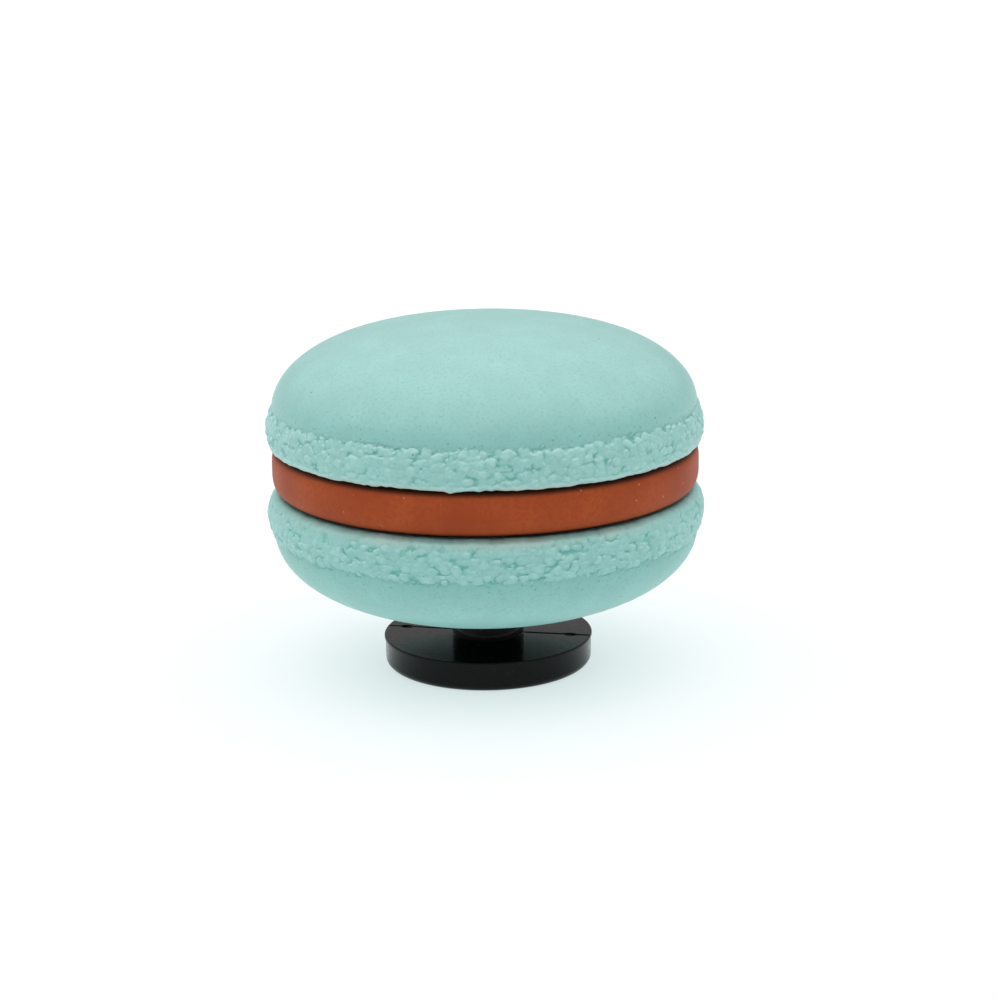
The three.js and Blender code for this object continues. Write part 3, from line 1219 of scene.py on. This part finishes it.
@dataclass
class Shell:
    """One moulded shell: flat inner face, pebbled foot, crease and smooth dome.

    Attributes:
        name: Name of the piece.
        node: The solid that it replaces.
        side: Which way the dome points.
        foot: The shell's foot.
        dome_radius: Radius of the dome at the crease, without the foot's spread.
        crease_shade: Share of the painted crevice shade on the dome at the crease.
        shade_reach: Height over which that shade fades out.
        scallop_top: Height that the foot's scalloped edge stays below.
        face_rings: Rings on the inner face, as shares of its radius.
        crown_rings: Rings on the crown's flat, as shares of its radius.
        columns: Number of points round each ring.
        lip_rings: Number of steps up the lip.
        foot_rings: Number of rings from the lip to the top of the scalloped edge.
        dome_rings: Number of rings from there to the crown's flat.
    """

    name: str
    node: str
    side: Side
    foot: Foot
    dome_radius: float = 11.95 * MM
    crease_shade: float = 0.25
    shade_reach: float = 1.6 * MM
    scallop_top: float = 2.6 * MM
    face_rings: tuple[float, ...] = (0.3, 0.6, 0.9, 0.97)
    crown_rings: tuple[float, ...] = (0.9, 0.5)
    columns: int = 1200
    lip_rings: int = 18
    foot_rings: int = 34
    dome_rings: int = 22

    def __post_init__(self) -> None:
        """Reads the shell's place from its solid and sets its dome on the foot."""
        low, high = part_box(self.node)
        self.height = high.z - low.z
        self.face_level = low.z if self.side is Side.UPPER else high.z
        self.dome = Dome(self.foot.crease, self.height, self.dome_radius + self.foot.spread)

    def profile(self) -> tuple[Array, Array]:
        """Works out the profile that is turned about Z.

        Returns:
            Radius and height of every ring, from the inner face's middle to the crown.
        """
        foot, dome = self.foot, self.dome
        face = np.array(self.face_rings) * foot.face_radius
        lip_height = foot.lip_height * (1 - np.cos(quarter_arc(self.lip_rings)))
        foot_height = np.linspace(foot.lip_height, self.scallop_top, self.foot_rings + 1)[1:]
        outside = np.concatenate([lip_height, foot_height])
        first_turn = float(dome.turn_at(np.array(self.scallop_top)))
        turns = np.linspace(first_turn, dome.last_turn(), self.dome_rings + 1)[1:]
        dome_radius, dome_height = dome.profile(turns)
        crown = np.array(self.crown_rings) * dome.flat_radius
        crown_height = np.full_like(crown, self.height)
        radius = np.concatenate([face, foot.bulge(outside), dome_radius, crown])
        height = np.concatenate([np.zeros_like(face), outside, dome_height, crown_height])
        return radius, height

    def build(self, finish: Finish) -> bpy.types.Object:
        """Builds and dresses the shell.

        Args:
            finish: The finish of the shell.

        Returns:
            The finished piece.
        """
        foot = self.foot
        radius, height = self.profile()
        angle, radius, height = revolve(radius, height, self.columns)
        first_lip = len(self.face_rings)
        on_foot = slice(first_lip, first_lip + self.lip_rings + 1 + self.foot_rings)
        # Painted shade on the dome, fading upwards from the crease.
        fade = 1 - ease(height, foot.crease, foot.crease + self.shade_reach)
        crease_shade = self.crease_shade * fade * (height > foot.crease)
        radius -= self.dome.dent(angle, radius, height, foot.seed)
        radius[on_foot], height[on_foot], foot_marks = foot.surface(
            angle[on_foot], height[on_foot], self.dome, self.side
        )
        marks = {mark: np.zeros_like(radius) for mark in foot_marks}
        for mark, values in foot_marks.items():
            marks[mark][on_foot] = values
        marks["crevice"] = np.maximum(marks["crevice"], crease_shade)
        level = self.face_level + self.side.value * height
        crown_level = self.face_level + self.side.value * self.height
        skin = Skin(to_points(angle, radius, level), self.face_level, crown_level, marks)
        piece = skin.build(self.name)
        finish_piece(piece, self.node, finish)
        return piece


@dataclass
class Filling:
    """The filling disc: a core that carries the shells, and a bulging rim between two grooves.

    Attributes:
        name: Name of the piece.
        node: The solid that it replaces.
        radius: Radius of the rim.
        core_radius: Radius of the core between the shells.
        rounding: How deep the rim's rounding goes.
        lower_groove: Height of the groove under the rim.
        upper_groove: Height of the groove above it.
        lower_power: Power of the rim's profile below its middle, larger for a squarer edge.
        upper_power: Power of the profile above its middle.
        waver: How far the rim's radius wavers.
        wave: Noise of that wavering.
        seam_width: Height over which the seams' shade fades out.
        seam_share: Strength of the shade at the rim's ends.
        columns: Number of points round each ring.
        rim_steps: Number of steps on each half of the rim.
    """

    name: str = "filling_disc"
    node: str = "filling"
    radius: float = 12.05 * MM
    core_radius: float = 10.2 * MM
    rounding: float = 0.84 * MM
    lower_groove: float = 0.17 * MM
    upper_groove: float = 0.2 * MM
    lower_power: float = 2.8
    upper_power: float = 4.5
    waver: float = 0.015 * MM
    wave: Wander = Wander(columns=36, step=MM, trait=80)
    seam_width: float = 0.28 * MM
    seam_share: float = 0.75
    columns: int = 720
    rim_steps: int = 24

    def build(self, finish: Finish) -> bpy.types.Object:
        """Builds and dresses the disc.

        The rim is half a superellipse: radius = c + a cos(t) ^ (2 / power) and height = middle +
        b sin(t) ^ (2 / power), with t from minus to plus a quarter turn. The seams' shade fades
        with the distance from the rim's lower and upper ends.

        Args:
            finish: The finish of the disc.

        Returns:
            The finished piece.
        """
        low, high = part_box(self.node)
        rim_low, rim_high = low.z + self.lower_groove, high.z - self.upper_groove
        rim_turns = np.linspace(-QUARTER, QUARTER, 2 * self.rim_steps + 1)
        power = np.where(rim_turns > 0, self.upper_power, self.lower_power)
        cosine = np.cos(rim_turns).clip(0) ** (2 / power)
        sine = np.sign(np.sin(rim_turns)) * np.abs(np.sin(rim_turns)) ** (2 / power)
        rim_radius = self.radius - self.rounding + self.rounding * cosine
        rim_height = (rim_low + rim_high) / 2 + (rim_high - rim_low) / 2 * sine
        core = self.core_radius
        radius = np.concatenate([[core / 2, core, core], rim_radius, [core, core, core / 2]])
        height = np.concatenate(
            [[low.z, low.z, rim_low], rim_height, [rim_high, high.z, high.z]]
        )
        angle, radius, height = revolve(radius, height, self.columns)
        on_rim = ease(radius, self.core_radius, self.radius)
        radius = radius + self.waver * self.wave.at(angle, height) * on_rim
        from_seam = np.minimum(height - rim_low, rim_high - height)
        # Painted shade along the rim's ends, next to the grooves.
        seam = self.seam_share * (1 - ease(from_seam, 0, self.seam_width))
        points = to_points(angle, radius, height)
        piece = Skin(points, low.z, high.z, {"seam": seam}).build(self.name)
        finish_piece(piece, self.node, finish)
        return piece


@dataclass
class Plug:
    """The plug: a round button and a post, moulded in one, with the mould's parting line.

    Attributes:
        name: Name of the piece.
        node: The solid that it replaces.
        button_thickness: Thickness of the button.
        button_radius: Radius of the button's rim.
        side_radius: Radius of its side below the rim.
        rim_height: Height of the rim.
        rim_break: How far the rim's upper edge is broken.
        lower_rounding: Radius of the rounding under the side.
        post_radius: Radius of the post.
        post_fillet: Radius of the fillet between button and post.
        parting_turn: Angle of the parting line about Z.
        parting_groove: Depth of the parting line.
        parting_width: Half its width.
        half_step: How much lower the button's front half lies.
        nick_reach: Distance of the two nicks from the axis.
        nick_length: Half the length of a nick.
        nick_width: Half its width.
        nick_depth: Depth of a nick.
        nick_slope: Where its wall starts and ends, as shares of its length and width.
        columns: Number of points round each ring.
        arc_steps: Number of steps on each rounding.
        top_rings: Number of rings on the button's top face.
    """

    name: str = "plug_moulding"
    node: str = "plug"
    button_thickness: float = 1.75 * MM
    button_radius: float = 5.98 * MM
    side_radius: float = 5.92 * MM
    rim_height: float = 0.3 * MM
    rim_break: float = 0.08 * MM
    lower_rounding: float = 0.44 * MM
    post_radius: float = 2.05 * MM
    post_fillet: float = 0.02 * MM
    parting_turn: float = math.radians(-12.2)
    parting_groove: float = 0.02 * MM
    parting_width: float = 0.06 * MM
    half_step: float = 0.025 * MM
    nick_reach: float = 4.8 * MM
    nick_length: float = 0.3 * MM
    nick_width: float = 0.2 * MM
    nick_depth: float = 0.3 * MM
    nick_slope: tuple[float, float] = (0.6, 1.1)
    columns: int = 900
    arc_steps: int = 8
    top_rings: int = 60

    def profile(self) -> tuple[Array, Array]:
        """Works out the profile that is turned about Z.

        Returns:
            Radius and height of every ring, from the underside's middle to the post's end.
        """
        low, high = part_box(self.node)
        top, edge, rim_break = self.button_thickness, self.button_radius, self.rim_break
        arc = quarter_arc(self.arc_steps)
        corner_radius = self.side_radius - self.lower_rounding * (1 - np.sin(arc))
        corner_height = self.lower_rounding * (1 - np.cos(arc))
        rim_radius = np.array([self.side_radius, edge, edge, edge - rim_break / 2])
        rim_drop = np.array([self.rim_height, 2 * rim_break, rim_break, rim_break / 4])
        face_end = self.post_radius + self.post_fillet
        face_radius = np.linspace(edge - rim_break, face_end, self.top_rings)
        fillet_radius = self.post_radius + self.post_fillet * (1 - np.sin(arc[1:]))
        fillet_height = top + self.post_fillet * (1 - np.cos(arc[1:]))
        sections = (
            ([self.side_radius / 2], [0]),
            (corner_radius, corner_height),
            (rim_radius, top - rim_drop),
            (face_radius, np.full(self.top_rings, top)),
            (fillet_radius, fillet_height),
            ([self.post_radius, self.post_radius / 2], [high.z - low.z] * 2),
        )
        radius, height = (np.concatenate(parts) for parts in zip(*sections))
        return radius, low.z + height

    def build(self, finish: Finish) -> bpy.types.Object:
        """Builds and dresses the plug.

        The top face is lowered by a groove, exp(-(d / width)^2), along the parting line at
        distance d, by a step in front of that line, and by two oval nicks on the line.

        Args:
            finish: The finish of the plug.

        Returns:
            The finished piece.
        """
        low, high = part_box(self.node)
        radius, height = self.profile()
        angle, radius, height = revolve(radius, height, self.columns)
        along = radius * np.cos(angle - self.parting_turn)
        across = radius * np.sin(angle - self.parting_turn)
        groove = self.parting_groove * np.exp(-((across / self.parting_width) ** 2))
        step = self.half_step * (1 - ease(across, -self.parting_width, self.parting_width))
        off_nick = np.abs(along) - self.nick_reach
        pit = np.hypot(off_nick / self.nick_length, across / self.nick_width)
        nick = self.nick_depth * (1 - ease(pit, *self.nick_slope))
        # The first face ring follows one ring of the underside, the corner's and four of the rim.
        first_face = 1 + (self.arc_steps + 1) + 4
        on_face = slice(first_face, first_face + self.top_rings)
        height[on_face] -= (groove + step + nick)[on_face]
        piece = Skin(to_points(angle, radius, height), low.z, high.z).build(self.name)
        finish_piece(piece, self.node, finish)
        return piece


# --- Studio ---


@dataclass
class Studio:
    """A lit white table under a sky of soft light, and the camera.

    Attributes:
        table_reach: Half the side of the table.
        sky_tint: Colour of the sky.
        horizon_light: Light of the sky at the horizon.
        zenith_light: Light of the sky overhead, without the softbox.
        box_light: Light of the large softbox overhead.
        box_power: Power of its fade, larger for a smaller box.
        side_light: Light of the two reflectors at the sides.
        side_shift: How far the darkest place between them lies to the right.
        camera_distance: How far the camera stands in front of the axis.
        camera_height: Height of the camera above the table.
        camera_dip: Angle by which it looks down, in radians.
        camera_yaw: Angle by which it looks to the right.
        camera_roll: Angle by which it is turned about its view.
        lens_mm: Focal length of the lens.
    """

    table_reach: float = 3.0
    sky_tint: str = "#fffafa"
    horizon_light: float = 0.2
    zenith_light: float = 1.36
    box_light: float = 0.65
    box_power: float = 4.0
    side_light: float = 0.3
    side_shift: float = 0.12
    camera_distance: float = 132.12 * MM
    camera_height: float = 44.08 * MM
    camera_dip: float = 0.256
    camera_yaw: float = 0.006
    camera_roll: float = -0.015
    lens_mm: float = 86.4

    def build(self) -> None:
        """Builds table, sky and camera."""
        bpy.context.scene.view_settings.view_transform = "Standard"
        self.build_table()
        self.build_sky()
        self.build_camera()

    def build_sky(self) -> None:
        """Builds the light: a sky that brightens upwards and to the sides, with a softbox on top.

        The formula is horizon + (zenith - horizon) z + box z ^ power + side (x - shift) ^ 2,
        where x and z are the direction's parts to the right and up.
        """
        world = bpy.data.worlds.new("softbox_sky")
        world.use_nodes = True
        world.node_tree.nodes.clear()
        add = partial(add_node, world.node_tree)
        direction = add("TexCoord", "Generated")
        right, rise = (add("SeparateXYZ", axis, inputs={"Vector": direction}) for axis in "XZ")
        ramp = {"Value": rise, "To Min": self.horizon_light, "To Max": self.zenith_light}
        sky = add("MapRange", "Result", inputs=ramp)
        fade = {"Value": rise, "Value_001": self.box_power}
        box = add("Math", "Value", {"operation": "POWER"}, fade)
        both = {"Value": box, "Value_001": self.box_light, "Value_002": sky}
        overhead = add("Math", "Value", {"operation": "MULTIPLY_ADD"}, both)
        offset = {"Value": right, "Value_001": self.side_shift}
        aside = add("Math", "Value", {"operation": "SUBTRACT"}, offset)
        squared = {"Value": aside, "Value_001": aside}
        spread = add("Math", "Value", {"operation": "MULTIPLY"}, squared)
        three = {"Value": spread, "Value_001": self.side_light, "Value_002": overhead}
        strength = add("Math", "Value", {"operation": "MULTIPLY_ADD"}, three)
        light = {"Color": linear(self.sky_tint), "Strength": strength}
        background = add("Background", "Background", inputs=light)
        add("OutputWorld", inputs={"Surface": background})
        bpy.context.scene.world = world

    def build_table(self) -> None:
        """Builds the table, a flat square at the height that the charm stands on."""
        reach = self.table_reach
        corners = [(-reach, -reach, 0), (reach, -reach, 0), (reach, reach, 0), (-reach, reach, 0)]
        mesh = bpy.data.meshes.new("table")
        mesh.from_pydata(corners, [], [(0, 1, 2, 3)])
        mesh.materials.append(LitAcrylic().material())
        table = bpy.data.objects.new("table", mesh)
        bpy.context.scene.collection.objects.link(table)

    def build_camera(self) -> None:
        """Builds the camera from its dip, yaw and roll.

        The view direction is (sin yaw cos dip, cos yaw cos dip, -sin dip). The level right and
        up vectors are turned about it by the roll.
        """
        dip, yaw, roll = self.camera_dip, self.camera_yaw, self.camera_roll
        level = math.cos(dip)
        ahead = Vector((math.sin(yaw) * level, math.cos(yaw) * level, -math.sin(dip)))
        level_right = Vector((math.cos(yaw), -math.sin(yaw), 0))
        level_up = level_right.cross(ahead)
        right = math.cos(roll) * level_right + math.sin(roll) * level_up
        up = math.cos(roll) * level_up - math.sin(roll) * level_right
        lens = bpy.data.cameras.new("camera")
        lens.lens = self.lens_mm
        lens.clip_start = 0.01
        lens.clip_end = 10
        camera = bpy.data.objects.new("camera", lens)
        turned = Matrix((right, up, -ahead)).transposed().to_4x4()
        placed = Matrix.Translation((0, -self.camera_distance, self.camera_height))
        camera.matrix_world = placed @ turned
        bpy.context.scene.collection.objects.link(camera)
        bpy.context.scene.camera = camera


def main() -> None:
    """Builds the studio and the charm from the table up."""
    logging.basicConfig(level=logging.INFO, format="%(name)s: %(message)s")
    Studio().build()
    Plug().build(BlackMouldedPvc())
    lower_foot = Foot(
        seed=11,
        spread=0.05 * MM,
        face_radius=11.6 * MM,
        crease=2.275 * MM,
        # The lower lip's pale band and painted seam shade fade out at the sides.
        lip_marks=LipMarks(pale_rim_width=0.5 * MM, pale_rim_share=0.55, seam_shade_share=0.5, side_fade=1.0),
    )
    Shell("shell_lower", "shell_bottom", Side.LOWER, lower_foot).build(MintSoftPvc())
    Filling().build(ChocolateSoftPvc())
    drips = (
        Drip(-98.8, 0.12 * MM, 0.35 * MM),
        Drip(-92, 0.05 * MM, 0.18 * MM),
        Drip(-68.4, 0.07 * MM, 0.3 * MM),
        Drip(38, 0.08 * MM, 0.3 * MM),
    )
    upper_foot = Foot(seed=3, edge=LipEdge(sag=0.01 * MM, drips=drips))
    # Fingers have polished the upper shell a little.
    handled_mint = MintSoftPvc(specular=0.4, roughness=0.4)
    Shell("shell_upper", "shell_top", Side.UPPER, upper_foot).build(handled_mint)


if __name__ == "__main__":
    main()
